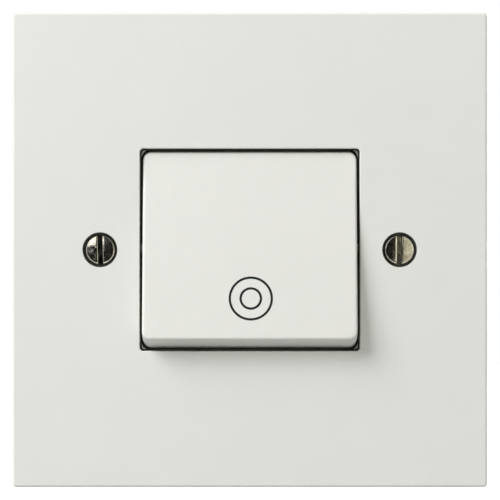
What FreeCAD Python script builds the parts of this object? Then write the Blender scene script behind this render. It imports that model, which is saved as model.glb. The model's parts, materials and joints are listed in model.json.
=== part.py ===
import FreeCAD, Part
import math
import os

# Push button light switch. Millimetres.
# X points right, Y into the wall, Z up; the wall is the plane y = 0 and the front faces -Y.
# The origin lies in the wall plane, midway between the two fixing screws.

# Cover plate
plate_size = 95.0
plate_depth = 9.0
plate_face = 2.2
plate_rim = 2.0
plate_corner_r = 0.7
plate_edge_r = 0.45
opening_w = 44.0
opening_h = 40.5
opening_corner_r = 0.7
opening_edge = 0.15
collar_wall = 1.6
rib_t = 1.2
rib_gap = 0.35
boss_d = 10.0
snap_arm_x = 12.0
snap_arm_w = 6.0
snap_arm_t = 1.5
snap_hook_t = 1.1
snap_hook_land = 0.35
snap_bite = 0.8
snap_clear = 0.2

# Fixing screws, M3.5
screw_pitch = 60.0
screw_d = 3.4
screw_hole_d = 4.2
screw_neck_d = 3.0
screw_length = 25.0
screw_tip = 0.6
head_d = 5.95
head_h = 2.3
head_edge = 0.2
head_slot_w = 1.03
head_slot_depth = 1.1
recess_d = 7.0
recess_depth = 3.3

# Key
key_side_gap = 0.6
key_end_gap = 0.35
key_front = 6.63
key_wall = 1.8
key_corner_r = 1.6
key_edge_r = 0.55
skirt_top = 2.0
skirt_bottom = 0.4
pivot_sink = 5.0
rest_tilt = 7.8
ear_r = 2.3
trunnion_d = 2.4
trunnion_length = 1.6
nib_w = 1.6
nib_out = 0.4
nib_front = 3.4
nib_rear = 1.5
key_rib_x = 8.0
key_rib_t = 1.2
key_rib_h = 2.0
foot_w = 5.0
foot_nose_r = 1.2
foot_nose_front = 1.0
stop_x = 12.0
stop_inset = 3.3
stop_t = 1.6
stop_w = 4.0
stop_gap = 0.3

# Mechanism frame
frame_clear = 0.3
frame_wall = 1.5
frame_corner_r = 0.5
post_w = 1.1
post_h = 1.5
post_sink = 0.9
post_clear = 0.3
rim_gap = 0.35
flange_step = 0.3
flange_t = 1.8
flange_over_x = 2.7
flange_over_z = 3.35
flange_corner_r = 2.0
deck_drop = 0.9
deck_t = 1.6
cheek_t = 1.5
cheek_gap = 0.3
cheek_r = 3.3
cheek_foot = 5.2
pivot_clear = 0.05
lead_in_depth = 0.7
guide_wall = 1.4
guide_length = 2.0
tongue_t = 1.2
tongue_w = 6.0
tongue_length = 8.0
tongue_z = 8.5
tongue_clear = 0.15
window_w = 3.6
window_h = 2.0
window_end = 1.6

# Plunger, bridge and springs
plunger_play = 0.04
plunger_head_d = 6.4
plunger_head_t = 1.2
stem_w = 4.4
slide_clear = 0.1
cage_gap = 0.2
cage_x = 5.2
cage_bar = 1.6
cage_leg = 1.4
cage_room = 0.4
window_depth = 6.0
bridge_t = 0.8
bridge_w = 4.2
bridge_length = 19.0
bridge_corner_r = 1.0
bridge_clear = 0.15
tip_inset = 2.0
tip_d = 3.0
tip_t = 1.0
contact_spare = 0.1
contact_spring_d = 3.6
contact_wire = 0.4
contact_turns = 3
return_spring_d = 6.0
return_wire = 0.5
return_turns = 5
return_length = 9.6
spring_seat = 0.03
coil_steps = 8
coil_sides = 6
peg_d = 3.0
peg_h = 2.0
contact_peg_d = 2.2
contact_peg_h = 1.2

# Base
base_inset_x = 2.7
base_inset_z = 2.45
base_wall = 1.8
base_floor = 2.0
base_corner_r = 3.0
base_edge = 0.7
pocket_wall = 1.2
pocket_clear = 0.2
pillar_w = 3.8

# Contact strips and terminals
strip_t = 0.8
strip_leg_w = 3.6
strip_pad = 4.6
terminal_sink = 0.4
terminal_head_room = 0.7
terminal_w = 7.4
terminal_h = 8.0
wire_bore = 3.4
entry_bore = 4.2
entry_funnel = 0.5
terminal_screw_d = 3.4
terminal_thread_clear = 0.05
terminal_tip_gap = 0.2
terminal_head_d = 5.2
terminal_head_h = 1.8
terminal_head_lift = 2.2
terminal_slot_w = 0.9
terminal_slot_depth = 0.9
access_d = 5.8

# Places along Y and sizes that follow from the values above
plate_front = -plate_depth
plate_inner = plate_front + plate_face
pivot_y = plate_front + pivot_sink
key_half_w = opening_w / 2 - key_side_gap
key_end_r = opening_h / 2 - key_end_gap
stop_z = key_end_r - key_wall - stop_inset - stop_t / 2
tilt = math.radians(rest_tilt)
skirt_top_z = math.sqrt(key_end_r**2 - skirt_top**2)
skirt_rear_y = pivot_y - skirt_top * math.cos(tilt) + skirt_top_z * math.sin(tilt)
frame_half_x = opening_w / 2 - frame_clear
frame_half_z = opening_h / 2 - frame_clear
rim_y = skirt_rear_y + rim_gap
flange_front = rim_y - flange_step
flange_rear = flange_front + flange_t
flange_half_x = frame_half_x + flange_over_x
flange_half_z = frame_half_z + flange_over_z
deck_front = flange_rear + deck_drop
deck_rear = deck_front + deck_t
ear_x = key_half_w - key_wall
cheek_outer_x = ear_x - cheek_gap
cheek_inner_x = cheek_outer_x - cheek_t
base_half_x = frame_half_x - base_inset_x
base_half_z = frame_half_z - base_inset_z
cage_leg_z = bridge_w / 2 + bridge_clear
cage_half_z = cage_leg_z + cage_leg
foot_reach = base_half_z - base_wall - cage_room - cage_half_z
tip_x = bridge_length / 2 - tip_inset
terminal_x = base_half_x - base_wall + terminal_sink - pocket_wall - pocket_clear - terminal_w / 2
terminal_top_z = base_half_z - base_wall - terminal_head_room - terminal_head_h - terminal_head_lift
terminal_z = terminal_top_z - terminal_h / 2
foot_top = pivot_y - foot_nose_front * math.cos(tilt) - foot_reach * math.sin(tilt) + foot_nose_r
plunger_top = foot_top + plunger_play
plunger_travel = foot_reach * math.sin(tilt) - foot_nose_front * (1 - math.cos(tilt))
guide_end = deck_rear + guide_length
cage_front = guide_end + cage_gap
cage_window = cage_front + cage_bar
cage_window_end = cage_window + window_depth
cage_rear = cage_window_end + cage_bar
bridge_front = cage_window_end - bridge_t
tip_end = cage_window_end + tip_t
fixed_tip_front = tip_end + plunger_travel + contact_spare
strip_front = fixed_tip_front + tip_t
strip_rear = strip_front + strip_t
floor_front = cage_rear + return_length
base_rear = floor_front + base_floor
plunger_z = -foot_reach
terminal_mid_y = (strip_rear + floor_front) / 2

x_axis = FreeCAD.Vector(1, 0, 0)
y_axis = FreeCAD.Vector(0, 1, 0)
z_axis = FreeCAD.Vector(0, 0, 1)
origin = FreeCAD.Vector(0, 0, 0)
through = 1.0
sides = (-1, 1)


def point(x, y, z):
    return FreeCAD.Vector(x, y, z)


def block(x0, x1, y0, y1, z0, z1):
    """A box between two corners."""
    return Part.makeBox(x1 - x0, y1 - y0, z1 - z0, point(x0, y0, z0))


def rod(radius, start, length, axis):
    """A cylinder from a start point along an axis."""
    return Part.makeCylinder(radius, length, start, axis)


def edges_along(shape, axis):
    """The straight edges that run parallel to an axis."""
    found = []
    for edge in shape.Edges:
        along = edge.Vertexes[-1].Point.sub(edge.Vertexes[0].Point)
        if along.Length > 0 and along.cross(axis).Length < 1e-6 * along.Length:
            found.append(edge)
    return found


def edges_at_y(shape, y):
    """The edges that lie in the plane of that y."""
    return [e for e in shape.Edges if abs(e.BoundBox.YMin - y) < 1e-4 and abs(e.BoundBox.YMax - y) < 1e-4]


def rounded_prism(half_x, half_z, radius, y0, y1):
    """A rounded rectangle about the Y axis, drawn out from y0 to y1."""
    prism = block(-half_x, half_x, y0, y1, -half_z, half_z)
    return prism.makeFillet(radius, edges_along(prism, y_axis))


def profile_along_x(corners, x0, x1):
    """A closed outline of (y, z) corners drawn out from x0 to x1."""
    points = [point(x0, y, z) for y, z in corners]
    return Part.Face(Part.makePolygon(points + points[:1])).extrude(point(x1 - x0, 0, 0))


def profile_along_y(corners, y0, y1):
    """A closed outline of (x, z) corners drawn out from y0 to y1."""
    points = [point(x, y0, z) for x, z in corners]
    return Part.Face(Part.makePolygon(points + points[:1])).extrude(point(0, y1 - y0, 0))


def other_side(shape):
    """The mirror image in the plane x = 0."""
    return shape.mirror(origin, x_axis)


def both_sides(shape):
    return [shape, other_side(shape)]


def plate_shell():
    """The face with its return rim, hollow behind."""
    half = plate_size / 2
    outer = rounded_prism(half, half, plate_corner_r, plate_front, 0)
    outer = outer.makeFillet(plate_edge_r, edges_at_y(outer, plate_front))
    inner_half = half - plate_rim
    hollow = block(-inner_half, inner_half, plate_inner, through, -inner_half, inner_half)
    return outer.cut(hollow)


def plate_ribs():
    """Ribs that carry the collar's walls on to the rim."""
    reach = plate_size / 2 - plate_rim / 2
    x = opening_w / 2 + collar_wall / 2
    z = opening_h / 2 + collar_wall / 2
    rear = flange_front - rib_gap
    ribs = []
    for side in sides:
        ribs.append(block(side * x - rib_t / 2, side * x + rib_t / 2, plate_inner, rear, -reach, reach))
        ribs.append(block(-reach, reach, plate_inner, rear, side * z - rib_t / 2, side * z + rib_t / 2))
    return ribs


def snap_arm():
    """One hooked arm behind the face, above the mechanism at the right."""
    inner = flange_half_z + snap_clear
    hook_rear = flange_rear + snap_hook_t
    corners = [
        (plate_inner, inner),
        (flange_rear, inner),
        (flange_rear, inner - snap_bite),
        (flange_rear + snap_hook_land, inner - snap_bite),
        (hook_rear, inner),
        (hook_rear, inner + snap_arm_t),
        (plate_inner, inner + snap_arm_t),
    ]
    return profile_along_x(corners, snap_arm_x - snap_arm_w / 2, snap_arm_x + snap_arm_w / 2)


def edges_around_opening(plate):
    """The front edges of the opening."""
    reach = opening_w / 2 + opening_corner_r
    front_edges = edges_at_y(plate, plate_front)
    return [e for e in front_edges if -reach < e.BoundBox.XMin and e.BoundBox.XMax < reach]


def cover_plate():
    """The square plate with its opening, collar, screw bosses, ribs and snap arms."""
    half_x = opening_w / 2
    half_z = opening_h / 2
    collar_r = opening_corner_r + collar_wall
    collar = rounded_prism(half_x + collar_wall, half_z + collar_wall, collar_r, plate_inner, flange_front)
    added = [collar] + plate_ribs()
    for arm in both_sides(snap_arm()):
        added.append(arm)
        added.append(arm.mirror(origin, z_axis))
    for side in sides:
        added.append(rod(boss_d / 2, point(side * screw_pitch / 2, plate_inner, 0), -plate_inner, y_axis))
    plate = plate_shell().fuse(added)
    plate = plate.cut(rounded_prism(half_x, half_z, opening_corner_r, plate_front - through, through))
    plate = plate.makeChamfer(opening_edge, edges_around_opening(plate))
    cuts = []
    for side in sides:
        x = side * screw_pitch / 2
        cuts.append(rod(recess_d / 2, point(x, plate_front - through, 0), recess_depth + through, y_axis))
        cuts.append(rod(screw_hole_d / 2, point(x, plate_front, 0), plate_depth + through, y_axis))
    return plate.cut(cuts).removeSplitter()


def slotted_screw(shank, head_diameter, head_height, slot_w, slot_depth):
    """A cheese-head screw along +Z: the head sits on z = 0, above the shank."""
    head = rod(head_diameter / 2, origin, head_height, z_axis)
    top = [e for e in head.Edges if abs(e.BoundBox.ZMin - head_height) < 1e-4]
    head = head.makeChamfer(head_edge, top)
    floor = head_height - slot_depth
    slot = block(-slot_w / 2, slot_w / 2, -head_diameter, head_diameter, floor, 2 * head_height)
    return head.fuse(shank).cut(slot).removeSplitter()


def fixing_screw(side):
    """A fixing screw in its recess: plain neck through the plate, thread behind the wall plane."""
    neck_length = -plate_front - recess_depth
    shank = rod(screw_d / 2, point(0, 0, -screw_length), screw_length - neck_length, z_axis)
    end = [e for e in shank.Edges if abs(e.BoundBox.ZMax + screw_length) < 1e-4]
    shank = shank.makeChamfer(screw_tip, end)
    sunk = neck_length + screw_tip
    neck = rod(screw_neck_d / 2, point(0, 0, -sunk), sunk, z_axis)
    screw = slotted_screw(shank.fuse(neck), head_d, head_h, head_slot_w, head_slot_depth)
    screw.rotate(origin, x_axis, 90)
    screw.translate(point(side * screw_pitch / 2, plate_front + recess_depth, 0))
    return screw


def key_section(radius, front, rear_top, rear_bottom, half_w):
    """Flat front and arc ends about the pivot, drawn out along X; local to the pivot."""
    corner_z = math.sqrt(radius**2 - front**2)
    top_z = math.sqrt(radius**2 - rear_top**2)
    bottom_z = math.sqrt(radius**2 - rear_bottom**2)

    def arc(y_from, z_from, y_to, z_to):
        mid_y = (y_from + y_to) / 2
        mid_z = math.copysign(math.sqrt(radius**2 - mid_y**2), z_from)
        ends = (point(-half_w, y_from, z_from), point(-half_w, mid_y, mid_z), point(-half_w, y_to, z_to))
        return Part.Arc(*ends).toShape()

    def line(y_from, z_from, y_to, z_to):
        return Part.makeLine(point(-half_w, y_from, z_from), point(-half_w, y_to, z_to))

    edges = [
        arc(-front, corner_z, -rear_top, top_z),
        line(-rear_top, top_z, -rear_bottom, -bottom_z),
        arc(-rear_bottom, -bottom_z, -front, -corner_z),
        line(-front, -corner_z, -front, corner_z),
    ]
    return Part.Face(Part.Wire(edges)).extrude(point(2 * half_w, 0, 0))


def key_shell():
    """The hollow key: rounded outside, even wall, open to the rear."""
    outer = key_section(key_end_r, key_front, skirt_top, skirt_bottom, key_half_w)
    upright = [e for e in outer.Edges if isinstance(e.Curve, Part.Circle)]
    outer = outer.makeFillet(key_corner_r, upright)
    outer = outer.makeFillet(key_edge_r, edges_at_y(outer, -key_front))
    inner_r = key_end_r - key_wall
    inner = key_section(inner_r, key_front - key_wall, -through, -through, key_half_w - key_wall)
    return outer.cut(inner)


def key_ear():
    """The right-hand pivot ear with its trunnion and the guide nib outside."""
    under = key_front - key_wall
    tongue = block(ear_x, key_half_w, -under, 0, -ear_r, ear_r)
    round_end = rod(ear_r, point(ear_x, 0, 0), key_wall, x_axis)
    trunnion = rod(trunnion_d / 2, point(ear_x - trunnion_length, 0, 0), trunnion_length, x_axis)
    nib_root = key_half_w - key_wall / 2
    nib = block(nib_root, key_half_w + nib_out, -nib_front, -nib_rear, -nib_w / 2, nib_w / 2)
    nose = [e for e in edges_along(nib, z_axis) if e.BoundBox.XMin > key_half_w]
    nib = nib.makeChamfer(nib_out / 2, nose)
    return tongue.fuse([round_end, trunnion, nib])


def key_underside():
    """Stiffening ribs, the foot that works the plunger and the two stop ribs."""
    under = -(key_front - key_wall)
    half_rib = math.sqrt((key_end_r - key_wall / 2) ** 2 - (key_front - key_wall) ** 2)
    root = under - key_wall / 2
    pieces = []
    rib_end = under + key_rib_h
    stop_end = deck_front - pivot_y - stop_gap
    stop_span = (-stop_z - stop_t / 2, -stop_z + stop_t / 2)
    for side in sides:
        x = side * key_rib_x
        pieces.append(block(x - key_rib_t / 2, x + key_rib_t / 2, root, rib_end, -half_rib, half_rib))
        x = side * stop_x
        pieces.append(block(x - stop_w / 2, x + stop_w / 2, root, stop_end, *stop_span))
    half = foot_w / 2
    foot_span = (plunger_z - foot_nose_r, plunger_z + foot_nose_r)
    pieces.append(block(-half, half, root, -foot_nose_front, *foot_span))
    pieces.append(rod(foot_nose_r, point(-half, -foot_nose_front, plunger_z), foot_w, x_axis))
    web_span = (plunger_z - key_rib_t / 2, plunger_z + key_rib_t / 2)
    pieces.append(block(-key_rib_x, key_rib_x, root, rib_end, *web_span))
    return pieces


def rocker_key():
    """The push key, tipped to its rest position about the pivot."""
    key = key_shell().fuse(both_sides(key_ear()) + key_underside()).removeSplitter()
    key.translate(point(0, pivot_y, 0))
    key.rotate(point(0, pivot_y, 0), x_axis, -rest_tilt)
    return key


def corner_post():
    """The post in the upper right corner that centres the frame in the plate's opening."""
    front = plate_front + post_sink
    outer = rounded_prism(frame_half_x, frame_half_z, frame_corner_r, front, deck_front)
    corner = block(
        frame_half_x - post_w, frame_half_x, front, deck_front, frame_half_z - post_h, frame_half_z
    )
    mid_x = key_half_w - key_corner_r
    mid_z = key_end_r - key_corner_r
    sweep = rod(key_corner_r + post_clear, point(mid_x, front, mid_z), rim_y - front, y_axis)
    return outer.common(corner).cut(sweep)


def frame_tray():
    """Outer wall, flange and deck."""
    inner_x = frame_half_x - frame_wall
    inner_z = frame_half_z - frame_wall
    wall = rounded_prism(frame_half_x, frame_half_z, frame_corner_r, rim_y, deck_rear)
    flange = rounded_prism(flange_half_x, flange_half_z, flange_corner_r, flange_front, flange_rear)
    over = rounded_prism(frame_half_x, frame_half_z, frame_corner_r, flange_front - through, rim_y)
    hollow = rounded_prism(inner_x, inner_z, frame_corner_r, rim_y - through, deck_front)
    return wall.fuse(flange.cut(over)).cut(hollow)


def cheek():
    """The right-hand upright with the pivot hole and its lead-in groove."""
    root = deck_front + deck_t / 2
    corners = [(pivot_y, -cheek_r), (pivot_y, cheek_r), (root, cheek_foot), (root, -cheek_foot)]
    body = profile_along_x(corners, cheek_inner_x, cheek_outer_x)
    body = body.fuse(rod(cheek_r, point(cheek_inner_x, pivot_y, 0), cheek_t, x_axis))
    hole_r = trunnion_d / 2 + pivot_clear
    hole = rod(hole_r, point(cheek_inner_x - through, pivot_y, 0), cheek_t + 2 * through, x_axis)
    ramp_x = cheek_outer_x - lead_in_depth
    ramp = block(ramp_x, cheek_outer_x + through, pivot_y - cheek_r - through, pivot_y, -hole_r, hole_r)
    return body.cut([hole, ramp])


def snap_tongue(x_side, z):
    """A tongue behind the deck, with the window that the base's nub snaps into."""
    inner = base_half_x + tongue_clear
    end = deck_rear + tongue_length
    tongue = block(inner, inner + tongue_t, deck_rear - deck_t / 2, end, z - tongue_w / 2, z + tongue_w / 2)
    window_rear = end - window_end
    window = block(
        inner - through,
        inner + tongue_t + through,
        window_rear - window_h,
        window_rear,
        z - window_w / 2,
        z + window_w / 2,
    )
    tongue = tongue.cut(window)
    return tongue if x_side > 0 else other_side(tongue)


def mechanism_frame():
    """The moulding behind the opening, which carries the key and the plunger."""
    added = both_sides(cheek())
    post = corner_post()
    for piece in both_sides(post):
        added.append(piece)
        added.append(piece.mirror(origin, z_axis))
    guide_half = stem_w / 2 + slide_clear + guide_wall
    guide_z = (plunger_z - guide_half, plunger_z + guide_half)
    added.append(block(-guide_half, guide_half, deck_rear - deck_t / 2, guide_end, *guide_z))
    for side in sides:
        for z in (-tongue_z, tongue_z):
            added.append(snap_tongue(side, z))
    frame = frame_tray().fuse(added)
    hole_half = stem_w / 2 + slide_clear
    hole_z = (plunger_z - hole_half, plunger_z + hole_half)
    cuts = [block(-hole_half, hole_half, deck_front - through, guide_end + through, *hole_z)]
    notch_half = ear_r + post_clear + cheek_gap
    notch_rear = pivot_y + ear_r + post_clear
    for side in sides:
        inner = cheek_outer_x
        outer = key_half_w + cheek_gap
        notch = block(inner, outer, rim_y - through, notch_rear, -notch_half, notch_half)
        cuts.append(notch if side > 0 else other_side(notch))
    return frame.cut(cuts).removeSplitter()


def plunger():
    """Head, square stem and the cage that holds the bridge and its spring."""
    stem_half = stem_w / 2
    head = rod(plunger_head_d / 2, point(0, plunger_top, plunger_z), plunger_head_t, y_axis)
    stem_y = (plunger_top + plunger_head_t / 2, cage_front + cage_bar / 2)
    stem = block(-stem_half, stem_half, *stem_y, plunger_z - stem_half, plunger_z + stem_half)
    cage_z = (plunger_z - cage_half_z, plunger_z + cage_half_z)
    cage = block(-cage_x / 2, cage_x / 2, cage_front, cage_rear, *cage_z)
    window_z = (plunger_z - cage_leg_z, plunger_z + cage_leg_z)
    window = block(-cage_x, cage_x, cage_window, cage_window_end, *window_z)
    half_bar = cage_bar / 2
    front_root = point(0, cage_window - half_bar, plunger_z)
    rear_root = point(0, cage_rear - half_bar, plunger_z)
    contact_peg = rod(contact_peg_d / 2, front_root, contact_peg_h + half_bar, y_axis)
    return_peg = rod(peg_d / 2, rear_root, peg_h + half_bar, y_axis)
    return head.fuse([stem, cage]).cut(window).fuse([contact_peg, return_peg]).removeSplitter()


def coil_spring(outer_d, wire_d, turns, y0, y1):
    """A compression spring about the plunger's axis: six-sided wire lofted along a helix."""
    radius = (outer_d - wire_d) / 2
    rise = (y1 - y0 - wire_d) / (2 * math.pi * turns)
    rings = []
    for step in range(turns * coil_steps + 1):
        angle = 2 * math.pi * step / coil_steps
        out = point(math.cos(angle), 0, math.sin(angle))
        along = point(-radius * math.sin(angle), rise, radius * math.cos(angle)).normalize()
        across = along.cross(out)
        centre = out * radius + point(0, y0 + wire_d / 2 + rise * angle, plunger_z)
        ring = []
        for corner in range(coil_sides + 1):
            turn = 2 * math.pi * corner / coil_sides
            ring.append(centre + (out * math.cos(turn) + across * math.sin(turn)) * (wire_d / 2))
        rings.append(Part.makePolygon(ring))
    return Part.makeLoft(rings, True, True)


def return_spring():
    """The spring between the cage and the base's floor."""
    ends = (cage_rear + spring_seat, floor_front - spring_seat)
    return coil_spring(return_spring_d, return_wire, return_turns, *ends)


def contact_spring():
    """The spring in the cage's window, which holds the bridge down."""
    ends = (cage_window + spring_seat, bridge_front - spring_seat)
    return coil_spring(contact_spring_d, contact_wire, contact_turns, *ends)


def contact_bridge():
    """The moving strip with rounded ends."""
    half_x = bridge_length / 2
    bridge = block(
        -half_x, half_x, bridge_front, cage_window_end, plunger_z - bridge_w / 2, plunger_z + bridge_w / 2
    )
    return bridge.makeFillet(bridge_corner_r, edges_along(bridge, y_axis))


def contact_tip(x, y_seat, toward):
    """A round tip standing on y_seat, its face towards +Y or -Y."""
    return rod(tip_d / 2, point(x, y_seat, plunger_z), tip_t, y_axis * toward)


def strip_outline():
    """Corners of the right-hand strip as (x, z): pad, leg and terminal end."""
    pad_x = tip_x - strip_pad / 2
    pad_z = plunger_z - strip_pad / 2
    leg_x = terminal_x - strip_leg_w / 2
    leg_end_x = terminal_x + strip_leg_w / 2
    neck_z = terminal_z - terminal_h / 2
    wide_x = terminal_x - terminal_w / 2
    wide_end_x = terminal_x + terminal_w / 2
    return [
        (pad_x, pad_z),
        (leg_end_x - strip_leg_w / 2, pad_z),
        (leg_end_x, pad_z + strip_leg_w / 2),
        (leg_end_x, neck_z),
        (wide_end_x, neck_z),
        (wide_end_x, terminal_z + terminal_h / 2),
        (wide_x, terminal_z + terminal_h / 2),
        (wide_x, neck_z),
        (leg_x, neck_z),
        (leg_x, plunger_z + strip_pad / 2),
        (pad_x, plunger_z + strip_pad / 2),
    ]


def fixed_strip():
    """The right-hand stamped strip from the contact pad to the terminal."""
    strip = profile_along_y(strip_outline(), strip_front, strip_rear)
    start = point(terminal_x, strip_front - through, terminal_z)
    wire_hole = rod(wire_bore / 2, start, strip_t + 2 * through, y_axis)
    return strip.cut(wire_hole)


def terminal_block():
    """The right-hand brass block with its wire bore and threaded hole."""
    body = block(
        terminal_x - terminal_w / 2,
        terminal_x + terminal_w / 2,
        strip_rear,
        floor_front,
        terminal_z - terminal_h / 2,
        terminal_z + terminal_h / 2,
    )
    wire_hole = rod(wire_bore / 2, point(terminal_x, strip_rear - through, terminal_z),
                    floor_front - strip_rear + 2 * through, y_axis)
    thread_r = terminal_screw_d / 2 + terminal_thread_clear
    thread = rod(thread_r, point(terminal_x, terminal_mid_y, terminal_z), terminal_h, z_axis)
    return body.cut([wire_hole, thread])


def terminal_screw():
    """The right-hand clamping screw, backed off clear of the wire bore."""
    tip_z = terminal_z + wire_bore / 2 + terminal_tip_gap
    head_z = terminal_top_z + terminal_head_lift
    shank = rod(terminal_screw_d / 2, point(0, 0, tip_z - head_z), head_z - tip_z, z_axis)
    screw = slotted_screw(shank, terminal_head_d, terminal_head_h, terminal_slot_w, terminal_slot_depth)
    screw.translate(point(terminal_x, terminal_mid_y, head_z))
    return screw


def base_nub():
    """The wedge on the right-hand wall that the frame's tongue snaps over."""
    end = deck_rear + tongue_length - window_end
    front = end - window_h + tongue_clear
    rear = end - tongue_clear
    half = window_w / 2 - tongue_clear
    root_x = base_half_x - base_wall / 2
    top_x = base_half_x + tongue_clear + tongue_t / 2
    points = [
        point(root_x, front, -half),
        point(base_half_x, front, -half),
        point(top_x, rear, -half),
        point(root_x, rear, -half),
    ]
    return Part.Face(Part.makePolygon(points + points[:1])).extrude(point(0, 0, 2 * half))


def base_inside():
    """What stands on the base's floor: strip pillar and terminal pocket of the right-hand side."""
    half = pillar_w / 2
    pillar = block(tip_x - half, tip_x + half, strip_rear, floor_front, plunger_z - half, plunger_z + half)
    leg_half = strip_leg_w / 2
    leg_post = block(
        terminal_x - leg_half, terminal_x + leg_half, strip_rear, floor_front,
        plunger_z + pillar_w, plunger_z + pillar_w + strip_leg_w
    )
    inner_x = terminal_w / 2 + pocket_clear
    inner_z = terminal_h / 2 + pocket_clear
    outer_x = inner_x + pocket_wall
    outer_z = inner_z + pocket_wall
    wall = block(
        terminal_x - outer_x, terminal_x + outer_x, strip_rear, floor_front,
        terminal_z - outer_z, terminal_z + inner_z
    )
    pocket = block(
        terminal_x - inner_x, terminal_x + inner_x, strip_rear - through, floor_front,
        terminal_z - inner_z, terminal_z + outer_z
    )
    return [pillar, leg_post, wall.cut(pocket)]


def mechanism_base():
    """The open box behind the frame, with wire entries in its floor."""
    outer = rounded_prism(base_half_x, base_half_z, base_corner_r, deck_rear, base_rear)
    outer = outer.makeChamfer(base_edge, edges_at_y(outer, base_rear))
    inner_r = base_corner_r - base_wall / 2
    inner = rounded_prism(
        base_half_x - base_wall, base_half_z - base_wall, inner_r, deck_rear - through, floor_front
    )
    added = []
    for piece in base_inside():
        added.extend(both_sides(piece))
    nub = base_nub()
    for z in (-tongue_z, tongue_z):
        placed = nub.copy()
        placed.translate(point(0, 0, z))
        added.extend(both_sides(placed))
    added.append(rod(peg_d / 2, point(0, floor_front - peg_h, plunger_z), peg_h + base_floor / 2, y_axis))
    base = outer.cut(inner).fuse(added)
    cuts = []
    for side in sides:
        x = side * terminal_x
        entry = point(x, floor_front - through, terminal_z)
        access = point(x, terminal_mid_y, base_half_z - base_wall - through)
        cuts.append(rod(entry_bore / 2, entry, base_floor + 2 * through, y_axis))
        mouth = point(x, base_rear - entry_funnel, terminal_z)
        entry_r = entry_bore / 2
        cuts.append(Part.makeCone(entry_r, entry_r + entry_funnel, entry_funnel, mouth, y_axis))
        cuts.append(rod(access_d / 2, access, base_wall + 2 * through, z_axis))
    return base.cut(cuts).removeSplitter()


def all_nodes():
    """Every piece by its name."""
    nodes = {
        "cover_plate": cover_plate(),
        "fixing_screw_left": fixing_screw(-1),
        "fixing_screw_right": fixing_screw(1),
        "rocker_key": rocker_key(),
        "mechanism_frame": mechanism_frame(),
        "mechanism_base": mechanism_base(),
        "plunger": plunger(),
        "return_spring": return_spring(),
        "contact_spring": contact_spring(),
        "contact_bridge": contact_bridge(),
        "bridge_tip_left": contact_tip(-tip_x, cage_window_end, 1),
        "bridge_tip_right": contact_tip(tip_x, cage_window_end, 1),
        "fixed_tip_left": contact_tip(-tip_x, strip_front, -1),
        "fixed_tip_right": contact_tip(tip_x, strip_front, -1),
    }
    pairs = {
        "fixed_strip": fixed_strip(),
        "terminal_block": terminal_block(),
        "terminal_screw": terminal_screw(),
    }
    for name, shape in pairs.items():
        nodes[name + "_right"] = shape
        nodes[name + "_left"] = other_side(shape)
    return nodes


def main():
    os.makedirs("parts", exist_ok=True)
    for name, shape in all_nodes().items():
        shape.exportStep("parts/" + name + ".step")
        print(name, "solids", len(shape.Solids), "valid", shape.isValid(), "volume", round(shape.Volume, 2))


main()
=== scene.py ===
import json
import math

import bmesh
import bpy
import numpy as np
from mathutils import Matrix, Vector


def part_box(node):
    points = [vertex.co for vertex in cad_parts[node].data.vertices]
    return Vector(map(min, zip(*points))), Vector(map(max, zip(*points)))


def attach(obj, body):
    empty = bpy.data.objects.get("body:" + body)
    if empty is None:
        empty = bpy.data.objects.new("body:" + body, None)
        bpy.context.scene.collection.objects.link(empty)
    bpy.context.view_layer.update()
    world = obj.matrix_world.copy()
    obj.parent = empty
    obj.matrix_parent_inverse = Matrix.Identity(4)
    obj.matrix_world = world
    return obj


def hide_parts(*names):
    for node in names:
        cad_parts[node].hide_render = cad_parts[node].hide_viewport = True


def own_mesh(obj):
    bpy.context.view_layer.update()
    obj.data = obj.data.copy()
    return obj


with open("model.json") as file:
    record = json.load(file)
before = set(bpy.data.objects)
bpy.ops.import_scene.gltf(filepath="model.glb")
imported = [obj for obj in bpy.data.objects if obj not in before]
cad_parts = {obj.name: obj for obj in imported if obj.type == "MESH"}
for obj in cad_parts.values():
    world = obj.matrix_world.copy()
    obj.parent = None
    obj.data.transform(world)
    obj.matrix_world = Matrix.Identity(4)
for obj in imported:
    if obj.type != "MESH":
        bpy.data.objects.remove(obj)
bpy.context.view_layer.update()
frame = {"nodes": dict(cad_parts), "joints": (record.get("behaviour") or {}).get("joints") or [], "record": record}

# Wall switch with a rocking push key, in the frame's own axes: X right, Y into the wall, Z up.
# Blender works in metres. The dictionaries of the pieces give millimetres, those of camera and lamps metres.
mm = 0.001
joints = {joint["name"]: joint for joint in frame["joints"]}
keyJoint = joints["key_rock"]
pivot = np.array(keyJoint["pos_m"])
restTilt = math.radians(keyJoint["range_deg"][1])
print("frame:", len(frame["nodes"]), "nodes")


# mesh helpers

mergeWithin = 1e-7         # metres; points nearer than this become one


def gridFaces(rows, columns, wrap=True):
    # quads between neighbouring rows of points; wrap joins the last column to the first
    row = np.arange(rows - 1)[:, None] * columns
    column = np.arange(columns if wrap else columns - 1)[None, :]
    after = (column + 1) % columns
    corners = [row + column, row + after, row + columns + after, row + columns + column]
    return np.stack(np.broadcast_arrays(*corners), axis=-1).reshape(-1, 4)


def ringCap(start, columns):
    # one face over a ring of points
    return list(range(start, start + columns))


def tubeFaces(rows, columns):
    # a tube of rings of points, with one face over each end
    return gridFaces(rows, columns).tolist() + [ringCap(0, columns), ringCap((rows - 1) * columns, columns)]


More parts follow.
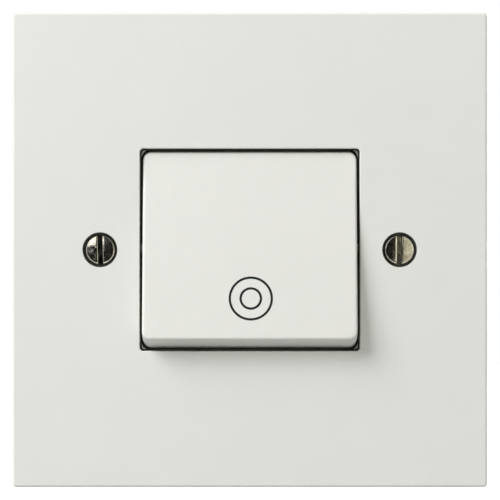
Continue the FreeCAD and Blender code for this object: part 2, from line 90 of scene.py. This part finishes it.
def makePiece(name, parts, material, body, nodes=(), sharp=40):
    # one object from several closed surfaces, each an array of points with its faces
    points, faces, first = [], [], 0
    for shape, shapeFaces in parts:
        points.append(shape.reshape(-1, 3))
        faces += [[first + i for i in face] for face in shapeFaces]
        first += len(points[-1])
    mesh = bpy.data.meshes.new(name)
    mesh.from_pydata(np.vstack(points).tolist(), [], faces)
    work = bmesh.new()
    work.from_mesh(mesh)
    bmesh.ops.remove_doubles(work, verts=work.verts, dist=mergeWithin)
    bmesh.ops.dissolve_degenerate(work, edges=work.edges, dist=mergeWithin)
    bmesh.ops.recalc_face_normals(work, faces=work.faces)
    work.to_mesh(mesh)
    work.free()
    mesh.shade_smooth()
    mesh.set_sharp_from_angle(angle=math.radians(sharp))
    mesh.materials.append(material)
    piece = bpy.data.objects.new(name, mesh)
    bpy.context.scene.collection.objects.link(piece)
    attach(piece, body)
    if nodes:
        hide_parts(*nodes)
    return piece


def smoothStep(low, high, value):
    # zero up to low, one from high on, and an even curve between
    t = np.clip((value - low) / (high - low), 0, 1)
    return t * t * (3 - 2 * t)


# material helpers

noiseRange = (0.3, 0.7)    # nearly all of a noise lies between these
shadingSamples = 4         # rays for soft edges and for painted shade in gaps
shadeTint = (1, 1, 0.7)     # painted shade in gaps is a little yellow


def newMaterial(name):
    material = bpy.data.materials.new(name)
    material.use_nodes = True
    return material, material.node_tree, material.node_tree.nodes["Principled BSDF"]


def noiseOn(tree, scale, detail=3, roughness=0.5, stretch=None):
    # noise that sticks to the object; scale is in features per metre
    coordinates = tree.nodes.new("ShaderNodeTexCoord")
    noise = tree.nodes.new("ShaderNodeTexNoise")
    noise.inputs["Scale"].default_value = scale
    noise.inputs["Detail"].default_value = detail
    noise.inputs["Roughness"].default_value = roughness
    source = coordinates.outputs["Object"]
    if stretch:
        mapping = tree.nodes.new("ShaderNodeMapping")
        mapping.inputs["Scale"].default_value = stretch
        tree.links.new(source, mapping.inputs["Vector"])
        source = mapping.outputs["Vector"]
    tree.links.new(source, noise.inputs["Vector"])
    return noise.outputs["Fac"]


def colourFrom(tree, source, dark, light, low=noiseRange[0], high=noiseRange[1]):
    # dark where source is at low, light where it is at high
    ramp = tree.nodes.new("ShaderNodeValToRGB")
    for element, position, colour in zip(ramp.color_ramp.elements, (low, high), (dark, light)):
        element.position = position
        element.color = (*colour, 1)
    tree.links.new(source, ramp.inputs["Fac"])
    return ramp.outputs["Color"]


def valueFrom(tree, source, low, high):
    # a noise spread over the values from low to high
    spread = tree.nodes.new("ShaderNodeMapRange")
    spread.inputs["From Min"].default_value = noiseRange[0]
    spread.inputs["From Max"].default_value = noiseRange[1]
    spread.inputs["To Min"].default_value = low
    spread.inputs["To Max"].default_value = high
    tree.links.new(source, spread.inputs["Value"])
    return spread.outputs["Result"]


def bumpFrom(tree, source, height, normal):
    bump = tree.nodes.new("ShaderNodeBump")
    bump.inputs["Strength"].default_value = 1.0
    bump.inputs["Distance"].default_value = height * mm
    tree.links.new(source, bump.inputs["Height"])
    tree.links.new(normal, bump.inputs["Normal"])
    return bump.outputs["Normal"]


def softEdges(tree, radius):
    # rounds the shading of sharp edges, as a mould does
    bevel = tree.nodes.new("ShaderNodeBevel")
    bevel.samples = shadingSamples
    bevel.inputs["Radius"].default_value = radius * mm
    return bevel.outputs["Normal"]


def paintedGapShade(tree, colour, reach, deepest, slit=0.12, clear=0.62):
    # painted shade: darkens narrow gaps and recesses where shade falls: colour times a factor that rises from
    # deepest at an openness of slit to one at clear
    openness = tree.nodes.new("ShaderNodeAmbientOcclusion")
    openness.samples = shadingSamples
    openness.inputs["Distance"].default_value = reach * mm
    paintedShade = [deepest * channel for channel in shadeTint]
    factor = colourFrom(tree, openness.outputs["AO"], paintedShade, (1, 1, 1), slit, clear)
    mix = tree.nodes.new("ShaderNodeMix")
    mix.data_type = "RGBA"
    mix.blend_type = "MULTIPLY"
    mix.inputs["Factor"].default_value = 1.0
    tree.links.new(colour, mix.inputs["A"])
    tree.links.new(factor, mix.inputs["B"])
    return mix.outputs["Result"]


plasticLook = {
    "cloud": 90,                 # features per metre, as in the next two
    "wear": 420,
    "grain": 5200,
    "edge": 0.12,                # millimetres of softening
    "ior": 1.5,
    "skin": (1.0, 0.9, 0.6),     # how far red, green and blue light get under it, against each other
}


def plastic(name, light, spread, rough=(0.34, 0.42), grain=0.006, paintedShade=None, glow=None):
    # moulded plastic: faint cloudiness in the colour, fine grain, soft edges, painted shade in gaps, light under
    # the skin
    material, tree, shader = newMaterial(name)
    dark = [channel * (1 - spread) for channel in light]
    colour = colourFrom(tree, noiseOn(tree, plasticLook["cloud"], 4), dark, light)
    # painted shade: the colour darkens in narrow gaps and recesses
    if paintedShade:
        colour = paintedGapShade(tree, colour, **paintedShade)
    tree.links.new(colour, shader.inputs["Base Color"])
    if glow:
        shader.inputs["Subsurface Weight"].default_value = glow["weight"]
        shader.inputs["Subsurface Scale"].default_value = glow["depth"] * mm
        shader.inputs["Subsurface Radius"].default_value = plasticLook["skin"]
    wear = noiseOn(tree, plasticLook["wear"])
    tree.links.new(valueFrom(tree, wear, *rough), shader.inputs["Roughness"])
    fine = noiseOn(tree, plasticLook["grain"], 2)
    normal = bumpFrom(tree, fine, grain, softEdges(tree, plasticLook["edge"]))
    tree.links.new(normal, shader.inputs["Normal"])
    shader.inputs["IOR"].default_value = plasticLook["ior"]
    return material


metalLook = {
    "stain": 700,                # features per metre, as in polish and scratch
    "stainRoughness": 0.6,
    "stainRange": (0.35, 0.6),   # the noise between which the colour goes from dark to light
    "polish": 1500,
    "scratch": 9000,
    "edge": 0.08,                # millimetres of softening
}


def metal(name, light, dark, rough, waveScale, waveHeight, scratch, stretch=None, paintedShade=None):
    # bare or plated metal: uneven polish, slow waves and fine scratches, with painted shade in gaps where given
    material, tree, shader = newMaterial(name)
    stain = noiseOn(tree, metalLook["stain"], 5, metalLook["stainRoughness"])
    colour = colourFrom(tree, stain, dark, light, *metalLook["stainRange"])
    # painted shade: the colour darkens in narrow gaps and recesses
    if paintedShade:
        colour = paintedGapShade(tree, colour, **paintedShade)
    tree.links.new(colour, shader.inputs["Base Color"])
    polish = noiseOn(tree, metalLook["polish"])
    tree.links.new(valueFrom(tree, polish, *rough), shader.inputs["Roughness"])
    shader.inputs["Metallic"].default_value = 1.0
    slow = bumpFrom(tree, noiseOn(tree, waveScale, 2), waveHeight, softEdges(tree, metalLook["edge"]))
    lines = noiseOn(tree, metalLook["scratch"], 2, stretch=stretch)
    tree.links.new(bumpFrom(tree, lines, scratch, slow), shader.inputs["Normal"])
    return material


inkLook = {
    "colour": (0.002, 0.002, 0.002),
    "paler": 0.004,              # how much lighter the thin places are
    "cover": 2600,
    "rough": (0.5, 0.7),
    "shine": 0.25,
}


def ink(name):
    # printed line: nearly black, a little uneven in gloss
    material, tree, shader = newMaterial(name)
    cover = noiseOn(tree, inkLook["cover"])
    thin = [channel + inkLook["paler"] for channel in inkLook["colour"]]
    tree.links.new(colourFrom(tree, cover, inkLook["colour"], thin), shader.inputs["Base Color"])
    tree.links.new(valueFrom(tree, cover, *inkLook["rough"]), shader.inputs["Roughness"])
    shader.inputs["Specular IOR Level"].default_value = inkLook["shine"]
    return material


# painted shade on the plate: the gap round the key and the screw recesses are darkened
plateGapShade = {"reach": 2.2, "deepest": 0.22}
# painted shade on the nickel screws: the slot and the head's side in its recess are darkened
screwGapShade = {"reach": 1.6, "deepest": 0.03, "slit": 0.45, "clear": 0.74}
keyGlow = {"weight": 0.25, "depth": 0.8}
finishes = {
    "plate": plastic("plateUrea", (0.79, 0.795, 0.765), 0.014, paintedShade=plateGapShade),
    "key": plastic("keyUrea", (0.785, 0.785, 0.755), 0.012, rough=(0.3, 0.38), glow=keyGlow),
    "frame_grey": plastic("framePolyamide", (0.27, 0.275, 0.235), 0.05, rough=(0.45, 0.6), grain=0.01),
    "base_grey": plastic("basePolyamide", (0.44, 0.45, 0.44), 0.04, rough=(0.5, 0.65), grain=0.012),
    "nylon": plastic("plungerNylon", (0.74, 0.72, 0.65), 0.03, rough=(0.35, 0.5), grain=0.008),
    "nickel": metal("screwNickel", (0.74, 0.71, 0.63), (0.42, 0.39, 0.32), rough=(0.05, 0.16),
                    waveScale=900, waveHeight=0.022, scratch=0.002, paintedShade=screwGapShade),
    "brass": metal("stripBrass", (0.78, 0.6, 0.3), (0.6, 0.43, 0.2), rough=(0.22, 0.38),
                   waveScale=500, waveHeight=0.01, scratch=0.004, stretch=(1, 1, 0.08)),
    "silver": metal("tipSilver", (0.85, 0.84, 0.8), (0.68, 0.66, 0.6), rough=(0.2, 0.35),
                    waveScale=900, waveHeight=0.01, scratch=0.003),
    "spring_steel": metal("springSteel", (0.62, 0.62, 0.63), (0.4, 0.4, 0.42), rough=(0.18, 0.32),
                          waveScale=1500, waveHeight=0.005, scratch=0.002),
    "zinc_steel": metal("screwZinc", (0.66, 0.67, 0.66), (0.48, 0.49, 0.5), rough=(0.22, 0.4),
                        waveScale=900, waveHeight=0.015, scratch=0.003),
}
inkBlack = ink("ringInk")
for node in frame["record"]["subparts"]:
    cadPiece = frame["nodes"][node["node"]]
    cadPiece.data.materials.clear()
    cadPiece.data.materials.append(finishes[node["material_slot"]])
print("finishes:", len(finishes))


# printed rings on the key

rings = {
    "height": -10.67,      # middle of the rings along the face, from the pivot's level
    "across": 0.2,
    "faceOut": 6.63,       # the key's face in front of the pivot
    "radii": {"outer_ring": 4.17, "inner_ring": 2.02},
    "line": 0.47,
    "film": 0.014,         # how far the ink stands on the face
    "flatAcross": 0.4,     # powers below one, which give the round section flat sides
    "flatOut": 0.5,
    "pointsAround": 128,
    "pointsAcross": 10,
}


def onKeyFace(across, up, out):
    # a point of the face, turned with the key to its rest position about the pivot
    forward = -(rings["faceOut"] + out)
    y = forward * math.cos(restTilt) + up * math.sin(restTilt)
    z = -forward * math.sin(restTilt) + up * math.cos(restTilt)
    return pivot + np.stack([across, y, z], axis=-1) * mm


def squared(wave, power):
    # a sine or cosine pushed towards one or minus one: its sign times its size to a power below one
    return np.sign(wave) * np.abs(wave) ** power


def printedRing(name, radius):
    # a flat band: a low section with rounded edges, carried round a circle on the face
    around, section = rings["pointsAround"], rings["pointsAcross"]
    turn = np.linspace(0, 2 * np.pi, around, endpoint=False)[None, :]
    step = np.linspace(0, 2 * np.pi, section, endpoint=False)[:, None]
    reach = radius + rings["line"] / 2 * squared(np.cos(step), rings["flatAcross"])
    out = rings["film"] * squared(np.sin(step), rings["flatOut"]) + 0 * turn
    across = rings["across"] + reach * np.cos(turn)
    up = rings["height"] + reach * np.sin(turn)
    faces = gridFaces(section + 1, around) % (section * around)      # the last row closes onto the first
    return makePiece(name, [(onKeyFace(across, up, out), faces.tolist())], inkBlack, "key")


for name, radius in rings["radii"].items():
    printedRing(name, radius)
print("rings printed")


# slotted screws

fixingScrew = {
    "headRadius": 2.975,
    "headHeight": 2.3,
    "rim": 0.24,
    "dome": 0.1,
    "slotWidth": 1.03,
    "slotDepth": 1.1,
    "slotEdge": 0.07,
    "neckRadius": 1.5,
    "neckLength": 5.7,
    "threadRadius": 1.69,
    "threadDepth": 0.33,
    "pitch": 0.6,
    "length": 25.0,
    "tip": 0.6,
    "axes": ((1, 0, 0), (0, 0, 1), (0, -1, 0)),      # across the slot, along it and out of the head
    "turned": {"left": 1.5, "right": -1.0},          # degrees
    "finish": "nickel",
}
terminalScrew = {
    "headRadius": 2.6,
    "headHeight": 1.8,
    "rim": 0.2,
    "dome": 0.05,
    "slotWidth": 0.9,
    "slotDepth": 0.9,
    "slotEdge": 0.06,
    "neckRadius": 1.4,
    "neckLength": 0.5,
    "threadRadius": 1.69,
    "threadDepth": 0.33,
    "pitch": 0.6,
    "length": 4.3,
    "tip": 0.4,
    "axes": ((1, 0, 0), (0, 1, 0), (0, 0, 1)),
    "turned": {"left": 120, "right": 70},
    "finish": "zinc_steel",
}
screwGrid = {"lobe": 15, "slotEdge": 5, "slotWall": 6, "chord": 37, "shank": 40, "pitch": 9}     # points along each
thread = {
    "crest": 1.25,         # height of the triangle wave, which is cut flat at one
    "root": 0.1,           # how much of it is cut off at the root
    "runIn": 0.2,          # pitches between neck and thread
    "tipTaper": 0.25,      # share of the core that the tip loses
}


def screwHead(size):
    # the slot's section across the head, carried along chords of the head's circle;
    # near the circle the top drops by the rim's rounding: rim minus the root of rim squared minus overshoot squared
    half, edge, top = size["slotWidth"] / 2, size["slotEdge"], size["headHeight"]
    radius, rim = size["headRadius"], size["rim"]
    floor = top - size["slotDepth"]
    lobe = -np.cos(np.linspace(0, np.pi / 2, screwGrid["lobe"])) * (radius - half - edge) - half - edge
    bend = np.linspace(np.pi / 2, 0, screwGrid["slotEdge"])[1:]
    wall = np.linspace(top - edge, floor, screwGrid["slotWall"])[1:]
    edgeAcross, edgeHeight = -half - edge + edge * np.cos(bend), top - edge + edge * np.sin(bend)
    across = np.concatenate([lobe, edgeAcross, np.full(len(wall), -half), [-half * 0.5, 0]])
    height = np.concatenate([np.full(len(lobe), top), edgeHeight, wall, [floor, floor]])
    across = np.concatenate([across, -across[-2::-1]])[:, None]      # the other half mirrors the first
    height = np.concatenate([height, height[-2::-1]])[:, None]
    chord = np.sqrt(np.maximum(radius ** 2 - across ** 2, 0))
    along = chord * np.sin(np.linspace(-np.pi / 2, np.pi / 2, screwGrid["chord"]))[None, :]
    reach = np.sqrt(across ** 2 + along ** 2)
    over = np.clip(reach - (radius - rim), 0, rim)
    bulge = size["dome"] * (1 - (reach / radius) ** 2)
    rimTop = top + bulge - (rim - np.sqrt(np.maximum(rim ** 2 - over ** 2, 0)))
    height = np.minimum(height + np.where(height > floor + edge, bulge, 0), rimTop)
    points = np.stack([across + 0 * along, along, height], axis=-1)
    faces = gridFaces(*points.shape[:2], wrap=False)
    edgeLoop = np.concatenate([points[:, -1], points[::-1, 0]])
    skirt = np.stack([edgeLoop, edgeLoop * (1, 1, 0)])
    count = len(edgeLoop)
    skirtFaces = gridFaces(2, count).tolist() + [ringCap(count, count)]
    return [(points, faces.tolist()), (skirt, skirtFaces)]


def screwShank(size):
    # plain neck, then a thread: radius is the core plus a ridge that climbs one pitch a turn;
    # the ridge is a triangle wave cut flat at crest and root, and it fades in at the neck and out at the tip
    columns = screwGrid["shank"]
    turn = np.linspace(0, 2 * np.pi, columns, endpoint=False)[None, :]
    start, end, pitch, tip = size["neckLength"], size["length"], size["pitch"], size["tip"]
    down = np.arange(start, end, pitch / screwGrid["pitch"])
    down = np.append(down, end)[:, None]
    phase = (down / pitch - turn / (2 * np.pi)) % 1
    ridge = np.clip(thread["crest"] * (1 - np.abs(2 * phase - 1)) - thread["root"], 0, 1)
    fade = smoothStep(start, start + pitch, down) * (1 - smoothStep(end - tip, end, down))
    core = size["threadRadius"] - size["threadDepth"]
    taper = np.clip((down - (end - tip)) / tip, 0, 1) * core * thread["tipTaper"]
    radius = core - taper + size["threadDepth"] * ridge * fade
    neckDown = np.array([0.0, start - thread["runIn"] * pitch])[:, None]
    neckRadius = np.full((2, columns), size["neckRadius"])
    radius = np.concatenate([neckRadius, radius])
    down = np.concatenate([neckDown, down]) + 0 * radius
    points = np.stack([radius * np.cos(turn), radius * np.sin(turn), -down], axis=-1)
    return (points, tubeFaces(len(points), columns))


def placeScrew(name, size, node, turned):
    # the head's face where the node has it, and the head's underside its height behind that
    across, along, out = (np.array(axis, float) for axis in size["axes"])
    low, high = (np.array(corner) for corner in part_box(node))
    headFace = np.where(out > 0, high, low)
    seat = np.where(out == 0, (low + high) / 2, headFace - out * size["headHeight"] * mm)
    spin = math.radians(turned)
    turnedAcross = across * math.cos(spin) + along * math.sin(spin)
    turnedAlong = along * math.cos(spin) - across * math.sin(spin)
    axes = np.stack([turnedAcross, turnedAlong, out])
    parts = [(shape @ axes * mm + seat, faces) for shape, faces in screwHead(size) + [screwShank(size)]]
    return makePiece(name, parts, finishes[size["finish"]], "housing", [node], sharp=32)


for side in ("left", "right"):
    placeScrew("slotted_screw_" + side, fixingScrew, "fixing_screw_" + side, fixingScrew["turned"][side])
    placeScrew("clamp_screw_" + side, terminalScrew, "terminal_screw_" + side, terminalScrew["turned"][side])
print("screws cut")


# coil springs

springs = {
    "return_spring": {"name": "key_return_spring", "wire": 0.5, "turns": 6.0, "body": "housing"},
    "contact_spring": {"name": "bridge_spring", "wire": 0.4, "turns": 4.5, "body": "plunger"},
}
springEnds = {
    "closedTurns": 0.5,    # at each end, these turns lie flat
    "openTurns": 1.1,      # and from here on the full pitch holds
    "spacing": 1.02,       # from one flat turn to the next, in wires
}
springGrid = {"turn": 36, "wire": 12}


def coilSpring(node, size):
    # round wire carried along a helix about Y, its end turns closed down to the wire's own thickness
    low, high = (np.array(corner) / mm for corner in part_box(node))
    wire, count = size["wire"], size["turns"]
    radius = (high[0] - low[0] - wire) / 2
    turns = np.linspace(0, count, int(count * springGrid["turn"]) + 1)
    flatEnd, openFrom = springEnds["closedTurns"], springEnds["openTurns"]
    opened = smoothStep(flatEnd, openFrom, turns) * (1 - smoothStep(count - openFrom, count - flatEnd, turns))
    length = high[1] - low[1] - wire
    flat = wire * springEnds["spacing"] * np.gradient(turns)
    rise = np.cumsum(flat * (1 - opened))
    rise = rise - rise[0] + np.cumsum(opened) / opened.sum() * (length - (rise[-1] - rise[0]))
    angle = 2 * np.pi * turns
    centreZ = (low[2] + high[2]) / 2
    path = np.stack([radius * np.cos(angle), low[1] + wire / 2 + rise, centreZ + radius * np.sin(angle)], axis=-1)
    ahead = np.gradient(path, axis=0)
    ahead /= np.linalg.norm(ahead, axis=1, keepdims=True)
    out = np.stack([np.cos(angle), 0 * angle, np.sin(angle)], axis=-1)
    up = np.cross(ahead, out)
    around = np.linspace(0, 2 * np.pi, springGrid["wire"], endpoint=False)[None, :, None]
    points = path[:, None] + wire / 2 * (np.cos(around) * out[:, None] + np.sin(around) * up[:, None])
    parts = [(points * mm, tubeFaces(*points.shape[:2]))]
    return makePiece(size["name"], parts, finishes["spring_steel"], size["body"], [node])


returnSpring = coilSpring("return_spring", springs["return_spring"])
coilSpring("contact_spring", springs["contact_spring"])
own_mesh(returnSpring)
print("springs wound")


# camera, lamps and ground

picture = {
    "distance": 0.42,      # from the plate's face
    "width": 0.10004,      # what the picture takes in at the plate's face
    "shiftX": 0.00004,
    "shiftZ": -0.00004,
    "sensor": 36,          # millimetres
    "nearest": 0.01,
}
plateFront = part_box("cover_plate")[0][1]
cameraY = plateFront - picture["distance"]


def makeCamera():
    data = bpy.data.cameras.new("camera")
    data.sensor_width = picture["sensor"]
    data.lens = picture["sensor"] * picture["distance"] / picture["width"]
    data.clip_start = picture["nearest"]
    camera = bpy.data.objects.new("camera", data)
    camera.location = (picture["shiftX"], cameraY, picture["shiftZ"])
    camera.rotation_euler = (math.pi / 2, 0, 0)
    bpy.context.scene.collection.objects.link(camera)
    bpy.context.scene.camera = camera


lamps = {
    # direction from the object, distance, size, watts, colour
    "window": {"towards": (-1.32, -1.0, 1.3), "distance": 1.25, "size": 0.7, "watts": 18.0, "colour": (1, 1, 1)},
    "front": {"towards": (0.9, -1.0, 0.15), "distance": 1.1, "size": 0.9, "watts": 2.6, "colour": (1, 1, 0.86)},
    "behind": {"towards": (0.8, 1.0, 0.15), "distance": 1.0, "size": 0.8, "watts": 6.5, "colour": (1, 1, 1)},
}


def makeLamp(name, lamp):
    data = bpy.data.lights.new(name, "AREA")
    data.shape = "SQUARE"
    data.size = lamp["size"]
    data.energy = lamp["watts"]
    data.color = lamp["colour"]
    light = bpy.data.objects.new(name, data)
    towards = np.array(lamp["towards"]) / np.linalg.norm(lamp["towards"])
    light.location = towards * lamp["distance"]
    light.rotation_euler = light.location.to_track_quat("Z", "Y").to_euler()
    bpy.context.scene.collection.objects.link(light)


def seenDirectly(tree):
    # one for rays from the camera, a mirror or glass, so the ground and sky show as white there
    path = tree.nodes.new("ShaderNodeLightPath")
    total = path.outputs["Is Camera Ray"]
    for name in ("Is Glossy Ray", "Is Transmission Ray"):
        larger = tree.nodes.new("ShaderNodeMath")
        larger.operation = "MAXIMUM"
        tree.links.new(total, larger.inputs[0])
        tree.links.new(path.outputs[name], larger.inputs[1])
        total = larger.outputs["Value"]
    return total


sky = {
    # light from around: weak from below the horizon, full from above, by how far up a ray points
    "From Min": -0.3,
    "From Max": 0.5,
    "To Min": 0.15,
    "To Max": 0.29,
}


def makeSky():
    world = bpy.data.worlds.new("sky")
    bpy.context.scene.world = world
    world.use_nodes = True
    tree = world.node_tree
    soft = tree.nodes["Background"]
    direction = tree.nodes.new("ShaderNodeTexCoord")
    parts = tree.nodes.new("ShaderNodeSeparateXYZ")
    tree.links.new(direction.outputs["Generated"], parts.inputs["Vector"])
    spread = tree.nodes.new("ShaderNodeMapRange")
    spread.interpolation_type = "SMOOTHSTEP"
    for key, value in sky.items():
        spread.inputs[key].default_value = value
    tree.links.new(parts.outputs["Z"], spread.inputs["Value"])
    tree.links.new(spread.outputs["Result"], soft.inputs["Strength"])
    soft.inputs["Color"].default_value = (1, 1, 1, 1)
    white = tree.nodes.new("ShaderNodeBackground")
    white.inputs["Color"].default_value = (1, 1, 1, 1)
    white.inputs["Strength"].default_value = 1.0
    mix = tree.nodes.new("ShaderNodeMixShader")
    tree.links.new(seenDirectly(tree), mix.inputs["Fac"])
    tree.links.new(soft.outputs["Background"], mix.inputs[1])
    tree.links.new(white.outputs["Background"], mix.inputs[2])
    tree.links.new(mix.outputs["Shader"], tree.nodes["World Output"].inputs["Surface"])


def plane(name, corners, material):
    mesh = bpy.data.meshes.new(name)
    mesh.from_pydata(corners, [], [(0, 1, 2, 3)])
    mesh.materials.append(material)
    thing = bpy.data.objects.new(name, mesh)
    bpy.context.scene.collection.objects.link(thing)
    return thing


ground = {
    "level": -0.085,
    "size": 2.4,
    "colour": (0.36, 0.36, 0.35),
    "roughness": 0.9,
    "glow": 0.84,          # lifts it to white where it is seen, and leaves the shadow on it
}


def makeGround():
    material, tree, shader = newMaterial("paleFloor")
    shader.inputs["Base Color"].default_value = (*ground["colour"], 1)
    shader.inputs["Roughness"].default_value = ground["roughness"]
    shader.inputs["Specular IOR Level"].default_value = 0.0
    shader.inputs["Emission Color"].default_value = (1, 1, 1, 1)
    glow = tree.nodes.new("ShaderNodeMath")
    glow.operation = "MULTIPLY"
    glow.inputs[1].default_value = ground["glow"]
    tree.links.new(seenDirectly(tree), glow.inputs[0])
    tree.links.new(glow.outputs["Value"], shader.inputs["Emission Strength"])
    half, z = ground["size"] / 2, ground["level"]
    plane("floor", [(-half, -half, z), (half, -half, z), (half, half, z), (-half, half, z)], material)


cards = {
    # behind the camera, seen only in gloss; span is left, right, bottom and top edge
    "dark_card": {"span": (-0.067, 0.067, -0.2, 0.2), "colour": (0.01, 0.01, 0.01), "glow": 0.0},
    "dark_corner": {"span": (-0.2, -0.067, -0.2, 0.028), "colour": (0.01, 0.01, 0.01), "glow": 0.0},
    "bright_card": {"span": (-0.2, -0.067, 0.028, 0.2), "colour": (1.0, 0.99, 0.97), "glow": 2.4},
    "wall_card": {"span": (0.067, 0.2, -0.2, 0.2), "colour": (0.62, 0.61, 0.47), "glow": 1.15},
}
cardsBehind = 0.1          # from the camera


def makeCard(name, card):
    # the screws have a dark camera side, a lit corner at the upper left and a pale wall at the right to mirror
    material, tree, shader = newMaterial(name)
    shader.inputs["Base Color"].default_value = (0.01, 0.01, 0.01, 1)
    shader.inputs["Specular IOR Level"].default_value = 0.0
    shader.inputs["Emission Color"].default_value = (*card["colour"], 1)
    shader.inputs["Emission Strength"].default_value = card["glow"]
    y = cameraY - cardsBehind
    left, right, low, high = card["span"]
    thing = plane(name, [(left, y, low), (left, y, high), (right, y, high), (right, y, low)], material)
    thing.visible_camera = False
    thing.visible_diffuse = False
    thing.visible_transmission = False
    thing.visible_shadow = False


makeCamera()
for name, lamp in lamps.items():
    makeLamp(name, lamp)
makeSky()
makeGround()
for name, card in cards.items():
    makeCard(name, card)
bpy.context.scene.view_settings.view_transform = "Standard"
print("camera and lamps set")
